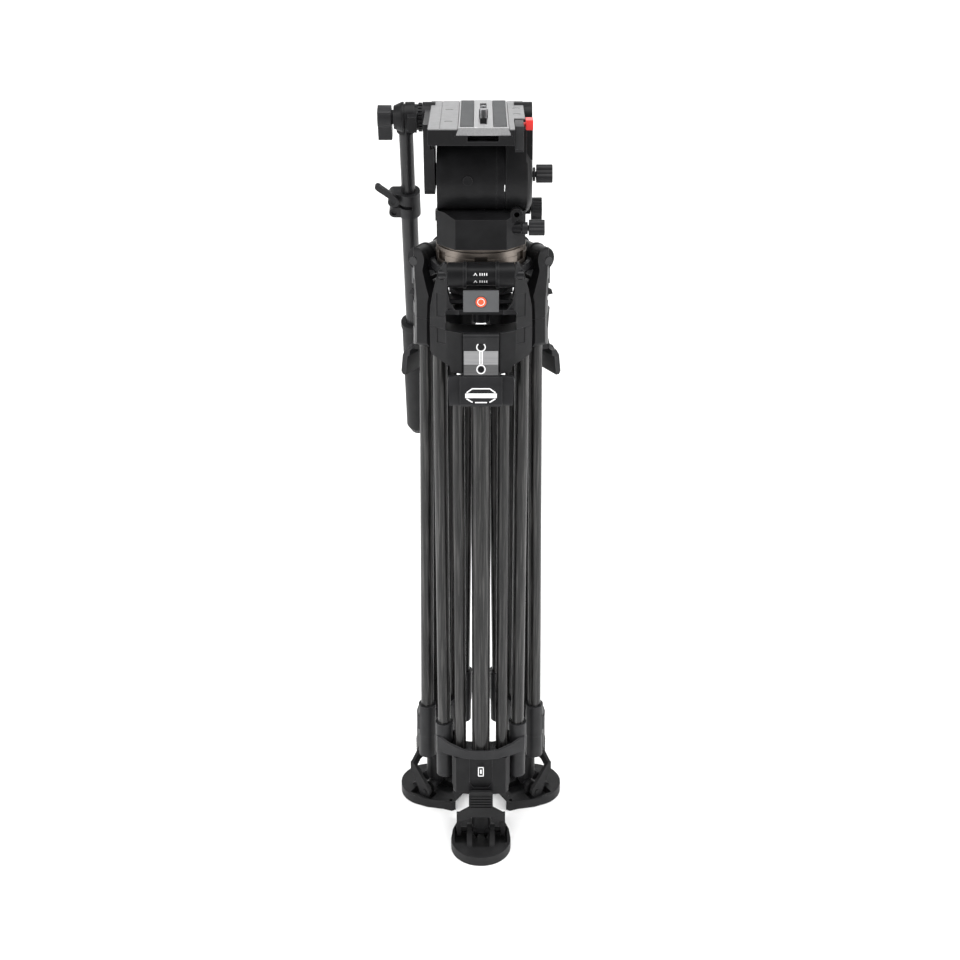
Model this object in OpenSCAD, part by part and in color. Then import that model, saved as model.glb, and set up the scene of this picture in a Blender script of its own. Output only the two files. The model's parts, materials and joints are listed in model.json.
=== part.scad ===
// Two-stage twin-tube video tripod with a 100 mm bowl and a fluid head, legs folded.
// The front leg points along -Y. Every leg part is drawn in a leg frame with its origin on
// the leg hinge: x runs across the leg, -y points away from the tripod, z runs up the leg.

/* [Tripod] */
// Distance of each leg hinge from the tripod's centre line
hinge_r = 60; // [59.5:0.5:61]
// Height of the leg hinges above the floor
hinge_z = 752; // [750:1:753]
// Outward lean of a folded leg, in degrees
leg_lean = 0.95; // [0.8:0.05:1.1]
// Distance between the two outer tubes of a leg
outer_spacing = 91; // [90:0.5:92]
// Distance between the two middle-stage tubes of a leg
inner_spacing = 51; // [50:0.5:51]
// Outside diameter of the outer tubes
outer_tube_d = 16; // [15.5:0.5:16.5]
// Outside diameter of the middle-stage tubes
inner_tube_d = 14.5; // [14:0.5:15]
// Outside diameter of the centre tube
centre_tube_d = 22; // [21:0.5:22]
// Wall thickness of the carbon tubes
tube_wall = 1.2; // [1:0.1:1.5]
// Diameter of the half ball, which is the bowl size of the tripod
ball_d = 100; // [99:0.5:100]

/* [Head] */
// Height of the tilt axis above the floor
tilt_z = 846; // [844:1:848]
// Radius of the tilt drum
drum_r = 40; // [38:1:40]
// Height of the sliding plate's top face
plate_top = 911; // [910:0.5:912]
// Length of the sliding plate
plate_l = 152; // [140:1:154]
// Width of the platform's top
platform_w = 89; // [88:1:90]
// Angle between the hanging pan bar and the vertical, in degrees
bar_lean = 20.5; // [19:0.5:22]
// Length from the rosette to the end of the grip
bar_l = 474; // [440:1:480]

/* [Hidden] */
$fn = 64;
// Gap left between parts that move against each other
gap = 0.4;
// Centre line of the tripod, placed so that the origin is under the middle of the whole object
axis_x = 7;
axis_y = -56;
casting = [0.16, 0.16, 0.17];
carbon = [0.1, 0.1, 0.11];
plastic = [0.13, 0.13, 0.14];
rubber = [0.2, 0.2, 0.2];
grey_metal = [0.62, 0.62, 0.63];
steel = [0.75, 0.75, 0.77];
ball_metal = [0.4, 0.36, 0.32];
black_tube = [0.08, 0.08, 0.09];
red = [0.85, 0.12, 0.1];
front = 0;
right = 120;
left = 240;
// Heights along the leg frame, measured from the hinge
seam = -60;
housing_low = -101;
tray_top = -609;
block_top = -616;
block_low = -669;
outer_y = 17.3;
inner_y = 6.5;
centre_y = 3;
lever_y = -14.4;
lever_z = -65;
shoe_r = 75;
// Pin of the foot, down the leg, and where it comes to lie over the shoe
foot_pin = -733;
shoe_pin_y = shoe_r - hinge_r + centre_y * cos(leg_lean) + foot_pin * sin(leg_lean);
shoe_pin_z = hinge_z - centre_y * sin(leg_lean) + foot_pin * cos(leg_lean);
// Centre of the half ball, and of the levelling movement
ball_z = 764;
seat_r = ball_d / 2 + 2;
// Radius of the right cheek's disc
cheek_r = 40.6;
// Rosette of the pan bar
rosette_y = 57;
rosette_z = 896;
bar_x_at = -83.3;
pin_r = 5;
bore_r = pin_r + gap;

module at_axis(z = 0) { translate([axis_x, axis_y, z]) children(); }

module leg_frame(turn) {
    at_axis() rotate([0, 0, turn]) translate([0, -hinge_r, hinge_z]) rotate([-leg_lean, 0, 0])
        children();
}

module shoe_frame(turn) { at_axis() rotate([0, 0, turn]) translate([0, -shoe_r, 0]) children(); }

// A child drawn once on each side of the leg's middle plane
module both_sides() {
    children();
    mirror([1, 0, 0]) children();
}

// A straight cylinder between two heights
module post(x, y, low, high, r) { translate([x, y, low]) cylinder(h = high - low, r = r); }

// A cylinder lying along x between two places
module bar_x(x0, x1, y, z, r) { translate([x0, y, z]) rotate([0, 90, 0]) cylinder(h = x1 - x0, r = r); }

// A box given by its lowest and highest corners
module span(low, high) { translate(low) cube(high - low); }

// An outline in the x-z plane, extruded along y between two places
module front_view(y0, y1, points) {
    translate([0, y1, 0]) rotate([90, 0, 0]) linear_extrude(y1 - y0) polygon(points);
}

// An outline in the y-z plane, extruded along x between two places
module side_view(x0, x1, points) {
    translate([x0, 0, 0]) rotate([90, 0, 90]) linear_extrude(x1 - x0) polygon(points);
}

// Points on an arc, from one angle to another
function arc(cx, cy, r, a0, a1, steps = 8) =
    [for (i = [0:steps]) let (a = a0 + (a1 - a0) * i / steps) [cx + r * cos(a), cy + r * sin(a)]];

// Left half of an outline from its right half
function mirrored(points) =
    concat(points, [for (i = [len(points) - 1:-1:0]) [-points[i][0], points[i][1]]]);

/* ---- Leg: upper casting ---- */

// Plan of the housing that holds the two outer tubes, seen from above
housing_plan = mirrored([[22, -13.5], [37, -5.5], [50, 4.5], [56, 11], [56, 24], [52, 27],
    [38, 27], [31, 20], [24, 18]]);

module yoke(turn) {
    color(casting) leg_frame(turn) difference() {
        union() {
            intersection() {
                translate([0, 0, seam + gap / 2]) linear_extrude(-seam + 20) polygon(housing_plan);
                union() {
                    front_view(-20, 40, mirrored([[38.6, seam], [38.6, -43], [36, -41], [24, -41],
                        [24, -36], [28, -36], [34, -28], [36.5, -16], [36.5, 20],
                        [38.5, 14], [43, 9], [47.5, -4], [52, -22], [55.4, -40], [56, seam]]));
                }
                side_view(-60, 60, concat([[28, seam], [28, -40], [13.6, -8]], arc(0, 0, 14, 5, 190, 12),
                    [[-14, -20], [-20, -40], [-20, seam]]));
            }
            // Round bar that ties the two arms together behind the angle stop
            bar_x(-37.5, 37.5, -1, -29.5, 2.6);
            front_view(-10, 12, [[-39, -41], [39, -41], [36, -36.2], [-36, -36.2]]);
        }
        bar_x(-70, 70, 0, 0, bore_r);
        // Recessed facets on the outside of the arms
        both_sides() {
            translate([0, 0, -36]) facet_cut(34);
        }
    }
}

// Shallow pocket in the chamfered corner of the castings
module facet_cut(height) {
    translate([43.5, -0.5, -height / 2]) rotate([0, 0, 37.6]) translate([-6, -1.4, 6])
        cube([12, 2.2, height - 8]);
}

module tube_housing(turn) {
    color(casting) leg_frame(turn) difference() {
        intersection() {
            translate([0, 0, housing_low - 14]) linear_extrude(seam - gap / 2 - housing_low + 14)
                polygon(housing_plan);
            front_view(-20, 40, mirrored([[20, seam - 1], [38, seam - 1], [40, seam], [56, seam], [56, -88],
                [53, -93], [34, -101], [33, -107.6], [20, -107.6]]));
        }
        // Channel that the lock lever lies in
        span([-20.6, -20, -130], [20.6, -10, -59]);
        bar_x(-20.6, 20.6, lever_y, lever_z, 4.4);
        both_sides() {
            post(outer_spacing / 2, outer_y, -130, seam - 6, outer_tube_d / 2);
            post(inner_spacing / 2, inner_y, -130, seam - 8, inner_tube_d / 2 + gap);
            translate([0, 0, -70]) facet_cut(26);
        }
        post(0, centre_y, -130, seam - 2, centre_tube_d / 2 + gap);
    }
}

/* ---- Leg: tubes ---- */

// A pair of hollow tubes, one on each side
module tube_pair(spacing, y, low, high, d) {
    both_sides() translate([spacing / 2, y, low]) difference() {
        cylinder(h = high - low, d = d);
        translate([0, 0, -1]) cylinder(h = high - low + 2, d = d - 2 * tube_wall);
    }
}

module outer_tubes(turn) {
    color(carbon) leg_frame(turn) tube_pair(outer_spacing, outer_y, tray_top - 40, seam - 8, outer_tube_d - 0.1);
}

module inner_tubes(turn) {
    color(carbon) leg_frame(turn) union() {
        tube_pair(inner_spacing, inner_y, block_low + 6, housing_low - 22, inner_tube_d);
        // Bridge that joins the two tubes at the top and guides the centre tube
        difference() {
            union() {
                span([-25.5, 3, housing_low - 40], [25.5, 10, housing_low - 22]);
                post(0, centre_y, housing_low - 40, housing_low - 22, 12.8);
            }
            post(0, centre_y, housing_low - 50, housing_low, centre_tube_d / 2 + gap);
            both_sides() post(inner_spacing / 2, inner_y, -200, 0, inner_tube_d / 2 - 0.1);
        }
    }
}

module centre_tube(turn) {
    color(carbon) leg_frame(turn) difference() {
        post(0, centre_y, -704, -66, centre_tube_d / 2);
        post(0, centre_y, -705, -65, centre_tube_d / 2 - tube_wall);
    }
}

/* ---- Leg: lower bracket and lower block ---- */

// Plan of the tray that joins the outer tubes at their lower end
tray_plan = mirrored([[8, -12.5], [22, -10.5], [40, -2.5], [54.5, 8], [56, 17], [51, 27], [40, 27],
    [32, 22], [14, 18]]);

module lower_bracket(turn) {
    color(casting) leg_frame(turn) difference() {
        union() {
            translate([0, 0, tray_top - 6]) linear_extrude(6) polygon(tray_plan);
            // Rim round the tray, which climbs to the collars at the back
            difference() {
                translate([0, 0, tray_top - 6]) linear_extrude(22) polygon(tray_plan);
                translate([0, 0, tray_top]) linear_extrude(20) offset(delta = -2.5)
                    polygon(tray_plan);
                side_view(-70, 70, [[-40, tray_top + 6], [-9, tray_top + 6], [6, tray_top + 14],
                    [50, tray_top + 14], [50, tray_top + 40], [-40, tray_top + 40]]);
                span([-31, 12, tray_top], [31, 60, tray_top + 30]);
            }
            both_sides() {
                post(outer_spacing / 2, outer_y, tray_top - 14, tray_top + 31, 11);
                post(outer_spacing / 2, outer_y, tray_top - 46, tray_top - 10, 10.4);
            }
        }
        both_sides() {
            post(outer_spacing / 2, outer_y, tray_top - 40.1, tray_top + 40, outer_tube_d / 2);
            post(inner_spacing / 2, inner_y, tray_top - 20, tray_top + 5, inner_tube_d / 2 + gap);
        }
        post(0, centre_y, tray_top - 10, tray_top + 5, centre_tube_d / 2 + gap);
    }
}

module lower_block(turn) {
    color(casting) leg_frame(turn) difference() {
        union() {
            intersection() {
                translate([0, 0, block_low]) linear_extrude(block_top - block_low)
                    polygon(mirrored([[16, -10], [31, -8], [36, -2], [34, 6], [28, 17], [12, 18]]));
                front_view(-40, 40, mirrored([[37, block_top], [36.4, block_low + 12],
                    [31, block_low]]));
            }
            both_sides() post(inner_spacing / 2, inner_y, block_low - 4, block_low + 4, 9.5);
            post(0, centre_y, block_low - 3, block_low + 4, 14);
        }
        // Recessed panel on the front
        front_view(-13, -8.8, mirrored([[14, block_top + 1], [14, block_low + 16],
            [9, block_low + 9]]));
        both_sides() post(inner_spacing / 2, inner_y, block_low + 5.9, 0, inner_tube_d / 2 + 0.05);
        post(0, centre_y, block_low - 20, 0, centre_tube_d / 2 + gap);
    }
}

/* ---- Leg: lever and angle stop ---- */

module lock_lever(turn) {
    color(plastic) leg_frame(turn) union() {
        difference() {
            bar_x(-19.4, 19.4, lever_y, lever_z, 4);
            bar_x(-25, 25, lever_y, lever_z, 1.6);
        }
        difference() {
            side_view(-19.4, 19.4, [[-18.2, lever_z - 1], [-11.6, lever_z - 3], [-11.6, -114],
                [-20, -114], [-15.8, -96]]);
            bar_x(-25, 25, lever_y, lever_z, 1.6);
            // Sunk screws with a hexagonal socket
            for (z = [-75, -101]) {
                translate([0, -14.6, z]) rotate([90, 0, 0]) cylinder(h = 12, r = 3.4);
                translate([0, -13.2, z]) rotate([90, 0, 0]) cylinder(h = 6, r = 1.6, $fn = 6);
            }
        }
        intersection() {
            front_view(-40, 0, mirrored([[22, -109], [35.5, -110], [36.5, -115], [34.5, -143]]));
            union() {
                side_view(-23, 23, [[-11.6, -108], [-20, -108], [-25, -117], [-28, -138],
                    [-25, -141.5], [-18, -141.5], [-14.5, -117], [-11.6, -116]]);
                side_view(-37, 37, [[-11.6, -108], [-16.5, -108], [-21, -117], [-24, -138],
                    [-22, -141.5], [-18, -141.5], [-14.5, -117], [-11.6, -116]]);
            }
        }
    }
}

module angle_stop(turn) {
    color(grey_metal) leg_frame(turn) union() {
        difference() {
            span([-19, -19, -35.6], [19, -14.6, -12.6]);
            // Shallow round seat of the badge
            translate([0, -18.4, -24.5]) rotate([90, 0, 0]) cylinder(h = 3, r = 6.8);
        }
        translate([0, -17.4, -24.5]) rotate([90, 0, 0]) cylinder(h = 1.4, r = 6.3);
        // Tooth that meets the spider's stop steps, and the two guides on the tie bar
        span([-8, -14.7, -19], [8, -13.9, -13]);
        both_sides() span([9, -14.7, -34.5], [14, -4.4, -25]);
    }
}

/* ---- Leg: foot ---- */

module spike_foot(turn) {
    color(casting) leg_frame(turn) difference() {
        union() {
            post(0, centre_y, -722, -686, 12.6);
            post(0, centre_y, -732, -721, 9.5);
            // Cross lug that carries the shoe's pin
            bar_x(-10, 10, centre_y, foot_pin, 7);
            // Twin spikes
            both_sides() translate([6, centre_y, -746.4]) cylinder(h = 12.4, r1 = 1, r2 = 3.5);
        }
        post(0, centre_y, -705, -680, centre_tube_d / 2);
        bar_x(-30, 30, centre_y, foot_pin, 3.3);
    }
}

// Outline of the rubber shoe, seen from above, around its own centre
shoe_plan = mirrored(concat(arc(0, -5, 38, -84, 0, 10), [[36, 14], [29, 34], [27, 46], [22, 49]],
    [[17, 46], [12, 40]]));

module shoe(turn) {
    color(rubber) shoe_frame(turn) difference() {
        union() {
            linear_extrude(13) polygon(shoe_plan);
            // Two upright cheeks that hold the pin
            both_sides() side_view(11.2, 17.6, concat([[-24, 10], [-18, 17]],
                arc(shoe_pin_y, shoe_pin_z, 7.5, 150, 20, 8), [[14, 10]]));
            bar_x(-31.5, 31.5, shoe_pin_y, shoe_pin_z, 3);
        }
        difference() {
            union() {
                // Pocket that the spikes stand in
                span([-10.7, -22, 5], [10.7, 34, 40]);
                // Slots beside the cheeks where the strap's arms go
                both_sides() span([18.4, -14, 4], [33.6, 18, 20]);
            }
            bar_x(-40, 40, shoe_pin_y, shoe_pin_z, 3);
        }
        both_sides() post(22, 42, -1, 30, 2.4);
    }
}

module strap(turn) {
    color(rubber) shoe_frame(turn) difference() {
        union() {
            // Two arms that swing on the shoe's pin
            both_sides() {
                bar_x(25.2, 30.5, shoe_pin_y, shoe_pin_z, 8.5);
                side_view(25.2, 30.5, [[shoe_pin_y - 8, shoe_pin_z - 1], [-15, 52], [-15, 60],
                    [-10.8, 60], [shoe_pin_y + 7, shoe_pin_z + 5]]);
            }
            // Flared bridge across the front, then the ribbed tab
            front_view(-15, -10.8, mirrored([[12, 54], [22, 48], [30.5, 48], [30.5, 58], [15, 68],
                [15, 91], [12, 93]]));
            for (z = [68:4:84]) span([-13.5, -16.5, z], [13.5, -14, z + 2]);
        }
        bar_x(-40, 40, shoe_pin_y, shoe_pin_z, 3.3);
    }
}

/* ---- Bowl and half ball ---- */

module bowl_spider() {
    color(casting) at_axis() difference() {
        union() {
            intersection() {
                translate([0, 0, ball_z]) sphere(r = 55, $fn = 96);
                post(0, 0, 716, 754, 80);
            }
            post(0, 0, 746, 754, 55.6);
            for (turn = [front, right, left]) rotate([0, 0, turn]) spider_lug();
        }
        translate([0, 0, ball_z]) sphere(r = seat_r, $fn = 96);
        post(0, 0, 700, 780, 30);
        for (turn = [front, right, left]) rotate([0, 0, turn])
            bar_x(-60, 60, -hinge_r, hinge_z, pin_r);
    }
}

// Barrel that carries one leg, with the web that joins it to the bowl
module spider_lug() {
    difference() {
        union() {
            bar_x(-35.6, 35.6, -hinge_r, hinge_z, 13.5);
            span([-33, -hinge_r, 741], [33, -40, 752]);
            both_sides() bar_x(16, 19, -hinge_r, hinge_z, 14.4);
        }
        // Flat-bottomed recess with the angle marks
        difference() {
            bar_x(-15.5, 15.5, -hinge_r, hinge_z, 20);
            bar_x(-15.6, 15.6, -hinge_r, hinge_z, 11.6);
            span([-16, -hinge_r + 4, 730], [16, -30, 770]);
        }
    }
}

module hinge_pins() {
    color(steel) at_axis() for (turn = [front, right, left]) rotate([0, 0, turn])
        bar_x(-45.5, 45.5, -hinge_r, hinge_z, pin_r);
}

module level_liner() {
    color(plastic) at_axis(ball_z) difference() {
        intersection() {
            sphere(r = seat_r - 0.4, $fn = 96);
            post(0, 0, -38, -14, 60);
        }
        sphere(r = ball_d / 2 + 0.4, $fn = 96);
    }
}

module half_ball() {
    color(ball_metal) at_axis(ball_z) difference() {
        union() {
            intersection() {
                sphere(r = ball_d / 2, $fn = 96);
                post(0, 0, -ball_d, 1, ball_d);
            }
            post(0, 0, 0, 8, 49.4);
            post(0, 0, 7.9, 11.8, 47);
        }
        difference() {
            sphere(r = 43, $fn = 96);
            post(0, 0, -8, 60, 60);
            post(0, 0, -60, 0, 13);
        }
        // Notches round the shoulder for the clamping screws
        for (a = [-90:60:210]) rotate([0, 0, a]) span([45.5, -7, -6], [60, 7, 4]);
        post(0, 0, -60, -8, 5);
    }
}

module tie_down_stud() {
    color(steel) at_axis(ball_z) union() {
        post(0, 0, -80, -20, 5);
        post(0, 0, -54.5, -52.5, 14);
    }
}

module tie_down_knob() {
    color(plastic) at_axis(ball_z) difference() {
        union() {
            post(0, 0, -84, -57, 9);
            for (a = [0:72:288]) rotate([0, 0, a]) post(7, 0, -71.5, -58, 4);
        }
        post(0, 0, -90, 0, 5.3);
    }
}

/* ---- Head: pan base and drum ---- */

base_plan = mirrored([[27.5, -50], [48, -26], [48, 26], [34, 46], [20, 50]]);

module pan_base() {
    color(casting) at_axis() difference() {
        union() {
            difference() {
                translate([0, 0, 776.2]) linear_extrude(37) polygon(base_plan);
                // Bevel along the top of the front face
                side_view(-60, 60, [[-52, 808], [-36, 813.3], [-36, 820], [-52, 820]]);
                // Room for the right cheek
                bar_x(25.9, 60, 0, tilt_z, cheek_r + 1);
            }
            // Ear at the front right and the index tab on the left
            front_view(-44, -34, concat([[30, 800]], arc(38, 813, 6.5, 0, 180, 10)));
            span([-49.8, -8, 797], [-47, 4, 808]);
            // Bosses that the pan lock and the drag dial turn in
            bar_x(30, 43, -38, 797, 6);
            bar_x(40, 54.4, 20, 803, 5.6);
            post(0, 0, 776.2, 790, 46);
        }
        bar_x(36, 60, -38, 797, 3.3);
        bar_x(44, 60, 20, 803, 3.3);
        translate([38, 0, 813]) rotate([90, 0, 0]) cylinder(h = 60, r = 3);
        post(0, 0, 780, 801, 38);
    }
}

module tilt_drum() {
    color(casting) at_axis() difference() {
        union() {
            difference() {
                bar_x(-47, 26, 0, tilt_z, drum_r);
                post(0, 0, 700, 813.3, 90);
                // Narrow seam between the drum's rings
                difference() {
                    bar_x(16, 16.8, 0, tilt_z, drum_r + 1);
                    bar_x(15, 18, 0, tilt_z, drum_r - 0.9);
                }
            }
            translate([-14, -drum_r + 2, tilt_z + 2]) rotate([90, 0, 0]) cylinder(h = 3, r = 5);
            // Axle ends that the cheeks turn on
            bar_x(-52, 50, 0, tilt_z, 12);
        }
        bar_x(-60, 60, 0, tilt_z, 6);
        bar_x(-40, 20, 0, tilt_z, 34);
    }
}

module pan_lock_knob() { color(plastic) at_axis() lobed_knob(44, 68, -38, 797, 9, 3); }

// Knob with a neck and two flattened sides, on an axis along x
module lobed_knob(x0, x1, y, z, r, neck, hub = 7) {
    difference() {
        union() {
            bar_x(x0 - 4.5, x0 + hub + 2, y, z, neck);
            bar_x(x0, x0 + hub - 1, y, z, r * 0.72);
            bar_x(x0 + hub, x1, y, z, r * 0.75);
            for (a = [90, 210, 330]) translate([0, y + r * 0.5 * cos(a), z + r * 0.5 * sin(a)])
                bar_x(x0 + hub, x1, 0, 0, r * 0.52);
        }
        bar_x(x1 - 1.5, x1 + 1, y, z, r * 0.4);
    }
}

module pan_drag_dial() {
    color(plastic) at_axis() difference() {
        union() {
            bar_x(55.2, 67, 20, 803, 12.6);
            bar_x(45, 56, 20, 803, 3);
        }
        // Finger flutes
        for (a = [0:30:330]) translate([0, 20 + 13.4 * cos(a), 803 + 13.4 * sin(a)])
            bar_x(57, 68, 0, 0, 1.9);
    }
}

/* ---- Head: tilting frame ---- */

module tilt_frame() {
    color(grey_metal) at_axis() difference() {
        union() {
            span([-54.6, -77, 893], [34.3, 77, plate_top - 1]);
            // Step on the right that carries the second rosette
            span([34, -22, 893], [46, 77, plate_top - 1]);
            // Left cheek
            side_view(-60.5, -49.2, concat([[40, plate_top - 4]], [[-40, plate_top - 4]],
                arc(-14, 843, 15, 180, 270, 6), arc(14, 843, 15, 270, 360, 6)));
            // Right cheek, a thick disc with a domed outside that climbs to the platform
            side_view(26.6, 48, concat([[42, 898], [-23, 898]],
                arc(0, tilt_z, cheek_r - 0.4, 158, 370, 12)));
            bar_x(26.6, 48, 0, tilt_z, cheek_r);
            translate([48, 0, tilt_z]) rotate([0, 90, 0]) cylinder(h = 4, r1 = cheek_r, r2 = cheek_r - 3);
            translate([52, 0, tilt_z]) rotate([0, 90, 0]) cylinder(h = 2.5, r1 = cheek_r - 3, r2 = cheek_r - 8);
            side_view(44, 54.5, [[42, 898], [-23, 898], [-30, 868], [38, 868]]);
            span([34, -22, 890], [54.5, 44, 899]);
            bar_x(36, 56, rosette_y, rosette_z, 16.5);
            bar_x(-64, -50, rosette_y, rosette_z, 16.5);
        }
        // Dovetail channel of the sliding plate
        front_view(-90, 90, [[-23.4, plate_top], [28.4, plate_top], [31.9, 902.4],
            [-26.9, 902.4]]);
        span([-14, -80, 897], [18, -60, 903]);
        bar_x(-52.4, -40, 0, tilt_z, 12.4);
        bar_x(20, 50.4, 0, tilt_z, 12.4);
        // Bore of the tilt lock
        bar_x(49, 60, 0, tilt_z, 3.3);
        bar_x(-70, -50, rosette_y, rosette_z, 6.2);
        // Seam along the top
        span([-42.6, -80, plate_top - 1.8], [-41.8, 80, plate_top]);
        span([-54, -74, 880], [26.2, 74, 896.5]);
        // Seat of the plate lock lever
        bar_x(30, 35.2, -50, 902, 2.8);
    }
}

module tilt_lock_knob() { color(plastic) at_axis() lobed_knob(56, 77, 0, tilt_z, 10.5, 3, 3.4); }

module sliding_plate() {
    color(grey_metal) at_axis() difference() {
        front_view(-plate_l / 2, plate_l / 2, [[-22.9, plate_top], [27.9, plate_top],
            [31.1, 902.9], [-26.1, 902.9]]);
        // Long slot of the camera screws, with its wider lower part
        span([-0.9, -58, 895], [5.9, 58, 920]);
        span([-3.6, -60, 900], [8.6, 60, 905.6]);
        // Beds of the two rubber pads
        for (x = [-14.5, 19.5]) span([x - 7, -71, plate_top - 1.2], [x + 7, 71, plate_top + 1]);
    }
}

module plate_pads() {
    color(rubber) at_axis() for (x = [-14.5, 19.5])
        span([x - 6.8, -70.5, plate_top - 1.2], [x + 6.8, 70.5, plate_top + 0.6]);
}

module camera_screws() {
    color(steel) at_axis() union() {
        // 3/8 inch screw, then the locating pin behind it
        post(2.5, -24, plate_top + 0.1, plate_top + 9, 4.7625);
        post(2.5, -24, 903.4, plate_top - 5.6, 5.6);
        post(2.5, -24, 903.4, plate_top + 0.5, 3.3);
        post(2.5, 24, 903.4, plate_top + 3.5, 3.1);
        post(2.5, 24, 903.4, 905.4, 5.6);
    }
}

module plate_lock_lever() {
    color(plastic) at_axis() union() {
        difference() {
            side_view(35, 43.8, [[-72, 888], [-66, 884], [-36, 892], [-25, 896], [-25, 906],
                [-36, plate_top], [-60, plate_top - 2]]);
            bar_x(39, 50, -38, 907, 2.4);
        }
        bar_x(33, 36, -50, 902, 2.4);
    }
}

module release_button() {
    color(red) at_axis() union() {
        span([46.2, -46, 902.4], [54, -30, 912.6]);
        bar_x(41.2, 47, -38, 907, 2);
    }
}

/* ---- Pan bar ---- */

// Frame of the hanging bar: origin on the rosette axis, -z along the bar
module bar_frame() {
    at_axis() translate([bar_x_at, rosette_y, rosette_z]) rotate([bar_lean, 0, 0]) children();
}

module bar_holder() {
    color(casting) bar_frame() difference() {
        union() {
            translate([-12.7, 0, 0]) rotate([0, 90, 0]) cylinder(h = 9, r1 = 12.5, r2 = 16.5);
            bar_x(-3.7, -1.6, 0, 0, 16.5);
            bar_x(-2, 0.6, 0, 0, 14.5);
            bar_x(0.2, 10.5, 0, 0, 16.5);
            bar_x(10, 18.9, 0, 0, 14);
            // Toothed ring of the rosette
            for (a = [0:15:345]) rotate([a, 0, 0]) span([14.6, -1, 13.4], [18.6, 1, 15.6]);
            // Clamp step on the front
            span([3.5, -19, -8], [13, -8, 11]);
            post(0, 0, -17, 0, 10.4);
        }
        bar_x(-20, 30, 0, 0, 5.4);
        post(0, 0, -40, -8, 8);
        // Slit that lets the holder close on the bar
        span([-1.2, -30, -30], [0.8, -7.9, 6]);
    }
}

module bar_clamp_knob() {
    color(plastic) bar_frame() union() {
        bar_x(-25, 20.5, 0, 0, 5);
        bar_x(-15.8, -13.2, 0, 0, 8);
        intersection() {
            translate([0, 0, -7]) bar_x(-30.5, -15, 0, 0, 19);
            union() {
                span([-31, -8.5, -26], [-15, 8.5, 11]);
                bar_x(-30.5, -15, 0, 0, 11.5);
            }
        }
    }
}

module bar_inner_tube() {
    color(black_tube) bar_frame() difference() {
        post(0, 0, -262, -9, 8);
        post(0, 0, -263, -8, 6.6);
    }
}

module bar_outer_tube() {
    color(black_tube) bar_frame() difference() {
        post(0, 0, 2 - bar_l, -100, 9.7);
        post(0, 0, 1 - bar_l, -99, 8.3);
    }
}

module bar_clamp_collar() {
    color(casting) bar_frame() difference() {
        union() {
            post(0, 0, -127, -96, 13.4);
            for (z = [-127, -109]) {
                span([-16.5, -9, z], [-2, 9, z + 13]);
                translate([-16.5, 9, z + 6.5]) rotate([90, 0, 0]) cylinder(h = 18, r = 6.5);
            }
        }
        post(0, 0, -130, -100, 9.7);
        post(0, 0, -105, -90, 8.3);
        span([-30, -20, -113.9], [4, 20, -109.1]);
        for (z = [-120.5, -102.5])
            translate([-17, -7, z]) rotate([90, 0, 0]) cylinder(h = 5, r = 3.6);
    }
}

module bar_clamp_lever() {
    color(plastic) bar_frame() difference() {
        union() {
            translate([-17, -9.3, -102.5]) rotate([90, 0, 0]) cylinder(h = 5, r = 6.5);
            translate([-17, -7.5, -102.5]) rotate([90, 0, 0]) cylinder(h = 3, r = 3.2);
            front_view(-14.3, -9.3, [[-14, -96.8], [-21, -98.5], [-35.6, -86.5], [-36.4, -80], [-31.4, -80.6],
                [-19, -91]]);
            translate([-33.8, -9.3, -82.8]) rotate([90, 0, 0]) cylinder(h = 5, r = 3.6);
        }
        translate([-17, -13.5, -102.5]) rotate([90, 0, 0]) cylinder(h = 5, r = 3.4);
    }
}

module grip() {
    color(rubber) bar_frame() difference() {
        union() {
            post(0, 0, 12 - bar_l, -292, 15);
            translate([0, 0, -bar_l]) cylinder(h = 12, r1 = 9, r2 = 15);
            post(0, 0, -296, -288, 16.2);
        }
        post(0, 0, 2 - bar_l, -280, 9.7);
    }
}

/* ---- Everything in place ---- */

module leg(name, turn) {
    yoke(turn);
    tube_housing(turn);
    outer_tubes(turn);
    lower_bracket(turn);
    lock_lever(turn);
    angle_stop(turn);
    inner_tubes(turn);
    lower_block(turn);
    centre_tube(turn);
    spike_foot(turn);
    shoe(turn);
    strap(turn);
}

leg("front", front);
leg("right", right);
leg("left", left);
bowl_spider();
hinge_pins();
level_liner();
half_ball();
tie_down_stud();
tie_down_knob();
pan_base();
tilt_drum();
pan_lock_knob();
pan_drag_dial();
tilt_frame();
tilt_lock_knob();
sliding_plate();
plate_pads();
camera_screws();
plate_lock_lever();
release_button();
bar_holder();
bar_clamp_knob();
bar_inner_tube();
bar_outer_tube();
bar_clamp_collar();
bar_clamp_lever();
grip();
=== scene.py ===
"""Looks of the tripod with fluid head: materials, soft edges, printed marks, floor, light and camera."""

import json
import math

import bmesh
import bpy
from mathutils import Euler, Matrix, Vector

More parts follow.
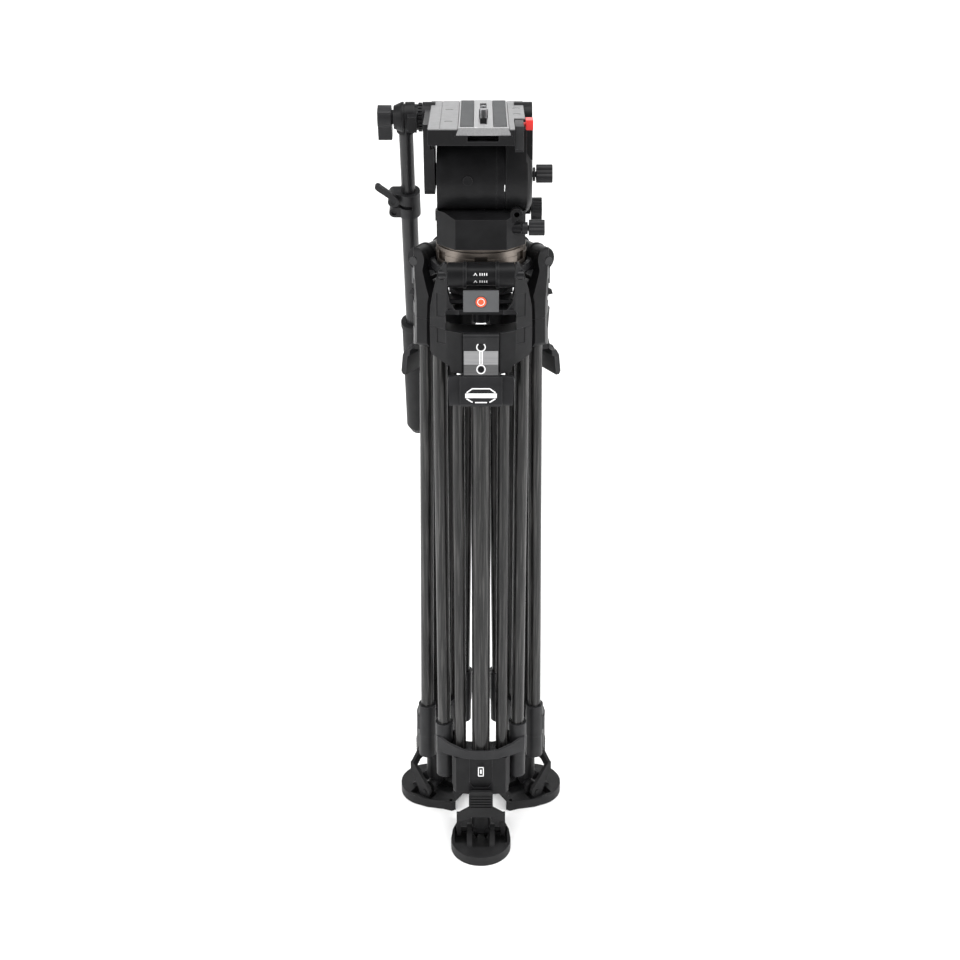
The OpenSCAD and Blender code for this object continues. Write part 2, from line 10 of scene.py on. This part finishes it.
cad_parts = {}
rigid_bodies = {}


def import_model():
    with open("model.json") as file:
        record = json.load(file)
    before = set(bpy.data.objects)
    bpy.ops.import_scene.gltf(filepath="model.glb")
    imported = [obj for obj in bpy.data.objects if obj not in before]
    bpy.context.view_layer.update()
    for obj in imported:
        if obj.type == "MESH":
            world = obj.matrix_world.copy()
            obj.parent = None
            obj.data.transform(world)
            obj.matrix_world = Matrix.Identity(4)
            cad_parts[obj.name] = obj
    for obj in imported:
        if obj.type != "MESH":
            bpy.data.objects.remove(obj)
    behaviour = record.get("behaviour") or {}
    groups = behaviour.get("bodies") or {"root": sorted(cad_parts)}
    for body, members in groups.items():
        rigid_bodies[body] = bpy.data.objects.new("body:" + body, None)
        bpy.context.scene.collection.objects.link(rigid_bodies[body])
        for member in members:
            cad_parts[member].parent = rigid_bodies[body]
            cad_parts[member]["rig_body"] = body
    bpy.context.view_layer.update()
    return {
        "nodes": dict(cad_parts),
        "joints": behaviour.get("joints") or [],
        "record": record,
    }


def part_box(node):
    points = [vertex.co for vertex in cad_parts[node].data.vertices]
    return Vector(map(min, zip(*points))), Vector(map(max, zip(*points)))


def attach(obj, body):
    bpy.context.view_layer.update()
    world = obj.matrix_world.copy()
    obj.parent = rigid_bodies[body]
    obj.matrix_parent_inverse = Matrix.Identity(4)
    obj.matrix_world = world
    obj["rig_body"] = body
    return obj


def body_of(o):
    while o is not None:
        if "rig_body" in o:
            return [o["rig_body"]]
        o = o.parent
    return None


MM = 0.001
# Height of the platform's painted top, and the stretch of x about the axis that it covers
PLATFORM_TOP = 0.910
PLATFORM_SIDES = (-54 * MM, 46 * MM)
DRUM_RADIUS = 40
# Surfaces that carry marks, in a leg's own frame: corners as (z, y) from the top down, in mm
ARM_FACE = [(-66, -18.2), (-96, -15.8), (-114, -20)]
PAD_FACE = [(-117, -25), (-138, -28)]
BADGE_FACE = [(0, -18.8), (-60, -18.8)]
BLOCK_FACE = [(-600, -13), (-700, -13)]
LUG_RADIUS = 11.6
# Heights of the badge's middle and of the lever's two screws in the same frame
BADGE_Z = -24.5
SCREWS_Z = (-101, -75.5)
LEGS = {"front": 0.0, "right": 120.0, "left": 240.0}

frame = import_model()


# ---------------------------------------------------------------- places taken from the frame

def centre(node):
    low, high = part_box(node)
    return (Vector(low) + Vector(high)) / 2


def joint(name):
    return next(j for j in frame["joints"] if j["name"] == name)


AXIS = Vector((centre("half_ball").x, centre("half_ball").y, 0.0))
HINGE = Vector(joint("front_leg_spread")["pos_m"])
HINGE_R = AXIS.y - HINGE.y
DOWN = Vector(joint("front_middle_extend")["axis"])
LEAN = math.atan2(-DOWN.y, -DOWN.z)


def leg_matrix(leg):
    """Carries a point from a leg's own frame (x across, -y outwards, z up the leg) to the row frame."""
    turn = Matrix.Rotation(math.radians(LEGS[leg]), 4, "Z")
    hinge = Matrix.Translation((0, -HINGE_R, HINGE.z))
    return Matrix.Translation(AXIS) @ turn @ hinge @ Matrix.Rotation(-LEAN, 4, "X")


# ---------------------------------------------------------------- materials

class Paint:
    """A small node-tree writer for one material."""

    def __init__(self, name):
        self.material = bpy.data.materials.new(name)
        self.material.use_nodes = True
        self.tree = self.material.node_tree
        self.shader = self.tree.nodes["Principled BSDF"]
        self.place = self.add("ShaderNodeTexCoord")

    def add(self, kind, **values):
        node = self.tree.nodes.new(kind)
        for key, value in values.items():
            setattr(node, key, value)
        return node

    def join(self, out, into):
        self.tree.links.new(out, into)

    def noise(self, scale, detail=4.0, stretch=(1, 1, 1)):
        mapping = self.add("ShaderNodeMapping")
        mapping.inputs["Scale"].default_value = stretch
        self.join(self.place.outputs["Object"], mapping.inputs["Vector"])
        texture = self.add("ShaderNodeTexNoise")
        texture.inputs["Scale"].default_value = scale
        texture.inputs["Detail"].default_value = detail
        self.join(mapping.outputs["Vector"], texture.inputs["Vector"])
        return texture.outputs["Fac"]

    def ramp(self, factor, stops):
        ramp = self.add("ShaderNodeValToRGB")
        elements = ramp.color_ramp.elements
        while len(elements) < len(stops):
            elements.new(0.5)
        for element, (place, colour) in zip(elements, stops):
            element.position = place
            element.color = (*colour, 1.0)
        self.join(factor, ramp.inputs["Fac"])
        return ramp.outputs["Color"]

    def spread(self, factor, low, high):
        span = self.add("ShaderNodeMapRange")
        span.inputs["To Min"].default_value = low
        span.inputs["To Max"].default_value = high
        self.join(factor, span.inputs["Value"])
        return span.outputs["Result"]

    def mix(self, factor, first, second):
        mix = self.add("ShaderNodeMix", data_type="RGBA")
        self.join(factor, mix.inputs["Factor"])
        for socket, value in (("A", first), ("B", second)):
            target = next(s for s in mix.inputs if s.name == socket and s.type == "RGBA")
            if isinstance(value, tuple):
                target.default_value = (*value, 1.0)
            else:
                self.join(value, target)
        return next(s for s in mix.outputs if s.type == "RGBA")

    def edge(self, radius, gain):
        """1 along sharp edges and 0 on flats, from how far a rounded normal leaves the true one."""
        bevel = self.add("ShaderNodeBevel", samples=6)
        bevel.inputs["Radius"].default_value = radius
        geometry = self.add("ShaderNodeNewGeometry")
        dot = self.add("ShaderNodeVectorMath", operation="DOT_PRODUCT")
        self.join(bevel.outputs["Normal"], dot.inputs[0])
        self.join(geometry.outputs["Normal"], dot.inputs[1])
        span = self.add("ShaderNodeMapRange")
        span.inputs["From Min"].default_value = 1.0
        span.inputs["From Max"].default_value = 1.0 - 1.0 / gain
        self.join(dot.outputs["Value"], span.inputs["Value"])
        return span.outputs["Result"]

    def bump(self, height, strength, distance):
        bump = self.add("ShaderNodeBump")
        bump.inputs["Strength"].default_value = strength
        bump.inputs["Distance"].default_value = distance
        self.join(height, bump.inputs["Height"])
        self.join(bump.outputs["Normal"], self.shader.inputs["Normal"])

    def set(self, **values):
        for key, value in values.items():
            socket = self.shader.inputs[key.replace("_", " ")]
            if isinstance(value, (int, float)):
                socket.default_value = value
            else:
                self.join(value, socket)


def grained(name, dark, light, roughness, grain=1400.0, strength=0.25, edge_highlight=None, **extra):
    """Moulded or powder-coated surface: two near tones, a fine grain and, when asked, a painted highlight
    of paler colour along the sharp edges.
    """
    paint = Paint(name)
    colour = paint.ramp(paint.noise(60.0), [(0.3, dark), (0.7, light)])
    if edge_highlight:
        # Painted highlight: the edge mask mixes a paler colour in along sharp edges
        colour = paint.mix(paint.edge(0.0008, 6.0), colour, edge_highlight)
    fine = paint.noise(grain, 3.0)
    paint.bump(fine, strength, 0.0001)
    paint.set(Base_Color=colour, Roughness=paint.spread(fine, roughness - 0.07, roughness + 0.07), **extra)
    return paint.material


def carbon_tube(name):
    """Lengthwise carbon fibres under a satin lacquer."""
    paint = Paint(name)
    fibres = paint.noise(420.0, 6.0, (1, 1, 0.03))
    bands = paint.noise(45.0, 2.0, (1, 1, 0.08))
    fine = paint.ramp(fibres, [(0.34, (0.003, 0.003, 0.0032)), (0.52, (0.015, 0.0147, 0.0143)),
                               (0.7, (0.07, 0.068, 0.066))])
    colour = paint.mix(paint.spread(bands, 0.0, 0.45), fine, (0.012, 0.012, 0.012))
    paint.bump(fibres, 0.12, 0.0001)
    paint.set(Base_Color=colour, Roughness=paint.spread(fibres, 0.22, 0.36), Coat_Weight=0.2,
              Specular_IOR_Level=0.25, Coat_Roughness=0.18)
    return paint.material


def brushed(name, colour, roughness, stretch):
    """Machined metal with fine lines along one direction."""
    paint = Paint(name)
    lines = paint.noise(700.0, 5.0, stretch)
    tones = paint.ramp(lines, [(0.3, tuple(c * 0.8 for c in colour)), (0.7, colour)])
    paint.bump(lines, 0.1, 0.00005)
    paint.set(Base_Color=tones, Metallic=1.0,
              Roughness=paint.spread(lines, roughness - 0.08, roughness + 0.1))
    return paint.material


def platform(name, top):
    """Grey paint in a thin layer around the platform's top, black casting everywhere else."""
    paint = Paint(name)
    split = paint.add("ShaderNodeSeparateXYZ")
    paint.join(paint.place.outputs["Object"], split.inputs["Vector"])
    left, right = (AXIS.x + side for side in PLATFORM_SIDES)
    limits = (("Z", "GREATER_THAN", top - 1.2 * MM), ("Z", "LESS_THAN", top + 0.3 * MM),
              ("X", "GREATER_THAN", left), ("X", "LESS_THAN", right))
    inside = None
    for axis, operation, limit in limits:
        test = paint.add("ShaderNodeMath", operation=operation)
        test.inputs[1].default_value = limit
        paint.join(split.outputs[axis], test.inputs[0])
        if inside is None:
            inside = test.outputs["Value"]
            continue
        both = paint.add("ShaderNodeMath", operation="MULTIPLY")
        paint.join(inside, both.inputs[0])
        paint.join(test.outputs["Value"], both.inputs[1])
        inside = both.outputs["Value"]
    grey = paint.ramp(paint.noise(90.0), [(0.3, (0.17, 0.17, 0.172)), (0.7, (0.205, 0.205, 0.208))])
    # Painted highlight: the black casting turns paler along sharp edges
    black = paint.mix(paint.edge(0.0008, 6.0), (0.009, 0.009, 0.0096), (0.05, 0.05, 0.053))
    fine = paint.noise(1500.0, 3.0)
    paint.bump(fine, 0.2, 0.0001)
    paint.set(Base_Color=paint.mix(inside, black, grey), Roughness=paint.spread(fine, 0.36, 0.5),
              Specular_IOR_Level=0.18)
    return paint.material


def make_materials():
    return {
        # The paler colour given for the edges here is a painted highlight
        "black_casting": grained("black_casting", (0.007, 0.007, 0.0075), (0.011, 0.011, 0.0118), 0.38,
                                 edge_highlight=(0.04, 0.04, 0.042), Specular_IOR_Level=0.14),
        "carbon": carbon_tube("carbon"),
        # The paler colour given for the edges here is a painted highlight
        "black_plastic": grained("black_plastic", (0.014, 0.014, 0.015), (0.02, 0.02, 0.0214), 0.4,
                                 edge_highlight=(0.05, 0.05, 0.052), Specular_IOR_Level=0.2),
        "rubber": grained("rubber", (0.012, 0.012, 0.0125), (0.018, 0.018, 0.0187), 0.5, 900.0, 0.4,
                          Specular_IOR_Level=0.15),
        "platform_grey": platform("platform_grey", PLATFORM_TOP),
        "plate_grey": brushed("plate_grey", (0.55, 0.55, 0.555), 0.42, (1, 0.02, 1)),
        "pad_grey": grained("pad_grey", (0.05, 0.052, 0.054), (0.066, 0.068, 0.07), 0.75, 1100.0, 0.6),
        "badge_grey": grained("badge_grey", (0.07, 0.072, 0.075), (0.085, 0.087, 0.09), 0.45),
        "ball_metal": brushed("ball_metal", (0.19, 0.165, 0.145), 0.42, (0.05, 0.05, 1)),
        "steel": brushed("steel", (0.3, 0.3, 0.31), 0.32, (1, 1, 0.1)),
        "black_tube": grained("black_tube", (0.012, 0.012, 0.013), (0.017, 0.017, 0.018), 0.3, 1800.0, 0.08,
                              Specular_IOR_Level=0.3),
        "release_red": grained("release_red", (0.62, 0.022, 0.018), (0.72, 0.03, 0.024), 0.34, 900.0, 0.1),
    }


MATERIALS = make_materials()


# ---------------------------------------------------------------- CAD nodes

ROUND_EDGES = {"carbon": 0.3, "steel": 0.3, "black_tube": 0.3, "plate_grey": 0.35, "pad_grey": 0.5,
               "rubber": 1.1, "platform_grey": 0.9, "ball_metal": 0.6, "release_red": 1.4}


def soften(piece, width_mm):
    """Rounds a CAD node's sharp edges with modifiers, which leave its own mesh as it is."""
    weld = piece.modifiers.new("weld", "WELD")
    weld.merge_threshold = 0.00001
    flat = piece.modifiers.new("flat", "DECIMATE")
    flat.decimate_type = "DISSOLVE"
    flat.angle_limit = math.radians(0.5)
    bevel = piece.modifiers.new("bevel", "BEVEL")
    bevel.width = width_mm * MM
    bevel.segments = 3
    bevel.limit_method = "ANGLE"
    bevel.angle_limit = math.radians(38)
    bevel.use_clamp_overlap = True
    shade = piece.modifiers.new("shade", "WEIGHTED_NORMAL")
    shade.keep_sharp = False
    shade.weight = 80


def dress_nodes():
    slots = {part["node"]: part["material_slot"] for part in frame["record"]["subparts"]}
    for name, piece in frame["nodes"].items():
        slot = slots[name]
        if not piece.material_slots:
            piece.data.materials.append(None)
        for holder in piece.material_slots:
            holder.link = "OBJECT"
            holder.material = MATERIALS["black_tube" if name == "hinge_pins" else slot]
        soften(piece, ROUND_EDGES.get(slot, 0.9))


dress_nodes()


# ---------------------------------------------------------------- printed marks and thin fittings

def around(u, v, r, angle):
    return u + r * math.cos(angle), v + r * math.sin(angle)


def disc(u, v, r, sides=40):
    return [around(u, v, r, 2 * math.pi * i / sides) for i in range(sides)]


def ring(u, v, inner, outer, start=0, end=360, steps=40):
    """An arc band as a row of four-sided pieces."""
    angles = [math.radians(start + (end - start) * i / steps) for i in range(steps + 1)]
    return [[around(u, v, inner, a), around(u, v, outer, a), around(u, v, outer, b), around(u, v, inner, b)]
            for a, b in zip(angles, angles[1:])]


def stroke(u0, v0, u1, v1, width):
    """A slanting bar between two points, a little longer than the way between them."""
    along = Vector((u1 - u0, v1 - v0)).normalized() * width / 2
    side = Vector((-along.y, along.x))
    first, last = Vector((u0, v0)) - along * 0.5, Vector((u1, v1)) + along * 0.5
    return [tuple(first + side), tuple(first - side), tuple(last - side), tuple(last + side)]


def block(u0, u1, v0, v1):
    return [(u0, v0), (u1, v0), (u1, v1), (u0, v1)]


def strips(u0, u1, levels):
    """A panel cut into rows, so that it can follow a curved face."""
    return [block(u0, u1, a, b) for a, b in zip(levels, levels[1:])]


def mark(name, shapes, put, node, material, height=0.2, sunk=0.15):
    """Thin printed or stuck-on shapes; put(u, v, h) gives the place h mm above the surface of the node."""
    mesh = bmesh.new()
    for shape in shapes:
        low = [mesh.verts.new(put(u, v, -sunk)) for u, v in shape]
        high = [mesh.verts.new(put(u, v, height)) for u, v in shape]
        mesh.faces.new(high)
        mesh.faces.new(low[::-1])
        for i in range(len(shape)):
            j = (i + 1) % len(shape)
            mesh.faces.new((low[i], low[j], high[j], high[i]))
    bmesh.ops.recalc_face_normals(mesh, faces=mesh.faces)
    data = bpy.data.meshes.new(name)
    mesh.to_mesh(data)
    mesh.free()
    data.materials.append(material)
    piece = bpy.data.objects.new(name, data)
    bpy.context.scene.collection.objects.link(piece)
    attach(piece, body_of(frame["nodes"][node])[0])


def follow(profile):
    """y of a surface at height z, from its corners as (z, y) pairs with z falling."""
    def face(z):
        for (z0, y0), (z1, y1) in zip(profile, profile[1:]):
            if z >= z1:
                break
        return y0 + (y1 - y0) * (z - z0) / (z1 - z0)
    return face


def on_leg(leg, face):
    carry = leg_matrix(leg)
    return lambda u, v, h: carry @ (Vector((u, face(v) - h, v)) * MM)


def on_drum(u, v, h):
    """The drum's front: u runs along its axis from the middle, v is the height above the axis."""
    level = Vector((AXIS.x, AXIS.y, joint("tilt")["pos_m"][2]))
    return level + Vector((u, -math.sqrt((DRUM_RADIUS + h) ** 2 - v * v), v)) * MM


def on_top(u, v, h):
    return Vector((AXIS.x + u * MM, AXIS.y + v * MM, PLATFORM_TOP + h * MM))


def emblem_shapes():
    """A wide bar inside an open eight-sided frame."""
    shapes = [block(-17.2, 17.2, -130.6, -125.6)]
    for side in (-1, 1):
        shapes += [stroke(side * 15.5, -124.6, side * 9.5, -120.4, 1.3),
                   stroke(side * 15.5, -131.6, side * 9.5, -135.2, 1.3)]
    return shapes + [block(-9.5, 9.5, -121, -119.8), block(-6.5, 6.5, -136.2, -135)]


def spanner_shapes():
    """A ring about the lower screw, an open jaw about the upper one and a double bar between them."""
    lower, upper = SCREWS_Z
    return (ring(0, lower, 3.9, 5.0) + ring(0, upper, 4.0, 5.2, 130, 410)
            + [block(-1.9, -0.6, -95.8, -80.6), block(0.6, 1.9, -95.8, -80.6)])


def icon_shapes():
    """A small upright frame with a bar in it."""
    low, high, half, line = -640, -626, 3.6, 1.2
    return [block(-half, -half + line, low, high), block(half - line, half, low, high),
            block(-half, half, high - line, high), block(-half, half, low, low + line),
            block(-1, 1, -636, -630)]


def tick_shapes():
    """Two rows, each a peak and four short strokes."""
    shapes = []
    for row in (3.6, -4.4):
        shapes += [stroke(x, row - 1.2, -6, row + 1.2, 0.6) for x in (-7.6, -4.4)]
        shapes += [block(x, x + 0.9, row - 1.3, row + 1.3) for x in (-1.6, 0.8, 3.2, 5.6)]
    return shapes


def add_leg_marks(leg, white, orange, metal, black):
    badge = on_leg(leg, follow(BADGE_FACE))
    arm = on_leg(leg, follow(ARM_FACE))
    pad = on_leg(leg, follow(PAD_FACE))
    panel = on_leg(leg, follow(BLOCK_FACE))
    lug = on_leg(leg, lambda z: -math.sqrt(LUG_RADIUS ** 2 - z * z))
    stop, lever = leg + "_angle_stop", leg + "_lock_lever"
    rows = [-107.2, -104, -100, -96, -92, -88, -84, -80]
    mark(leg + "_badge_dot", [disc(0, BADGE_Z, 5.7)], badge, stop, orange)
    mark(leg + "_badge_ring", ring(0, BADGE_Z, 3.2, 3.9), badge, stop, white, 0.3)
    mark(leg + "_lever_plate", strips(-18.6, 18.6, rows), arm, lever, metal, 0.35)
    mark(leg + "_lever_sign", spanner_shapes(), arm, lever, white, 0.5)
    mark(leg + "_lever_screws", [disc(0, z, 3.1) for z in SCREWS_Z], arm, lever, black, 0.9)
    mark(leg + "_lever_emblem", emblem_shapes(), pad, lever, white)
    mark(leg + "_block_sign", icon_shapes(), panel, leg + "_lower_block", white)
    mark(leg + "_angle_ticks", tick_shapes(), lug, "bowl_spider", white)


def add_head_marks(white, black):
    mark("drum_index", [block(24.6, 25.4, -9, -2)], on_drum, "tilt_drum", white)
    arcs = []
    for u, v in ((-34, -38), (-34, 26), (38, 2), (38, 34)):
        arcs += ring(u, v - 3, 3.4, 4.8, 25, 155, 12)
    mark("platform_marks", arcs, on_top, "tilt_frame", black, 0.12)


def add_marks():
    white = grained("print_white", (0.8, 0.8, 0.8), (0.86, 0.86, 0.86), 0.5, 900.0, 0.05)
    orange = grained("badge_orange", (0.72, 0.075, 0.02), (0.8, 0.1, 0.03), 0.35, 900.0, 0.05)
    metal = brushed("lever_metal", (0.36, 0.36, 0.365), 0.4, (0.03, 1, 1))
    black = MATERIALS["black_casting"]
    for leg in LEGS:
        add_leg_marks(leg, white, orange, metal, black)
    add_head_marks(white, black)


add_marks()


# ---------------------------------------------------------------- stage

def add_stage():
    """A pale floor that curves up into a backdrop."""
    size, rise = 4.0, 2.4
    floor_mesh = bpy.data.meshes.new("floor")
    rows = [(-size, 0.0)] + [(1.3 + math.sin(math.radians(a)), 1.0 - math.cos(math.radians(a)))
                             for a in range(0, 91, 9)] + [(2.3, rise)]
    verts = [(x, y, z) for y, z in rows for x in (-size, size)]
    faces = [(2 * i, 2 * i + 1, 2 * i + 3, 2 * i + 2) for i in range(len(rows) - 1)]
    floor_mesh.from_pydata(verts, [], faces)
    floor = bpy.data.objects.new("floor", floor_mesh)
    bpy.context.scene.collection.objects.link(floor)
    for polygon in floor_mesh.polygons:
        polygon.use_smooth = True
    paint = Paint("paper")
    tone = paint.ramp(paint.noise(3.0), [(0.0, (0.93, 0.93, 0.93)), (1.0, (0.96, 0.96, 0.96))])
    paint.set(Base_Color=tone, Roughness=0.9)
    floor_mesh.materials.append(paint.material)


def add_light(name, place, aim, size, power):
    data = bpy.data.lights.new(name, "AREA")
    data.shape = "RECTANGLE"
    data.size, data.size_y = size
    data.energy = power
    lamp = bpy.data.objects.new(name, data)
    lamp.location = place
    lamp.rotation_euler = (Vector(aim) - Vector(place)).to_track_quat("-Z", "Y").to_euler()
    bpy.context.scene.collection.objects.link(lamp)


def light_stage():
    world = bpy.data.worlds.new("studio")
    bpy.context.scene.world = world
    world.use_nodes = True
    tree = world.node_tree
    background = tree.nodes["Background"]
    background.inputs["Color"].default_value = (1, 1, 1, 1)
    # Mirror-like reflections see a dimmer room, so that the black castings stay black
    path = tree.nodes.new("ShaderNodeLightPath")
    dim = tree.nodes.new("ShaderNodeMapRange")
    dim.inputs["To Min"].default_value = 1.0
    dim.inputs["To Max"].default_value = 0.22
    tree.links.new(path.outputs["Is Glossy Ray"], dim.inputs["Value"])
    tree.links.new(dim.outputs["Result"], background.inputs["Strength"])
    aim = (0, 0, 0.5)
    add_light("left_softbox", (-1.9, -0.7, 1.2), aim, (0.8, 2.2), 28)
    add_light("right_softbox", (1.9, -0.5, 1.2), aim, (0.8, 2.2), 28)
    add_light("top_softbox", (0, -0.3, 2.3), aim, (1.6, 1.4), 26)


def add_camera():
    data = bpy.data.cameras.new("camera")
    data.sensor_width = 36.0
    data.lens = 53.48
    camera = bpy.data.objects.new("camera", data)
    camera.location = AXIS + Vector((-0.0011, -1.534, 1.203))
    camera.rotation_euler = Euler((math.radians(90 - 25.2), 0, 0))
    bpy.context.scene.collection.objects.link(camera)
    bpy.context.scene.camera = camera


add_camera()
light_stage()
add_stage()
bpy.context.scene.view_settings.view_transform = "Standard"

bpy.context.view_layer.update()
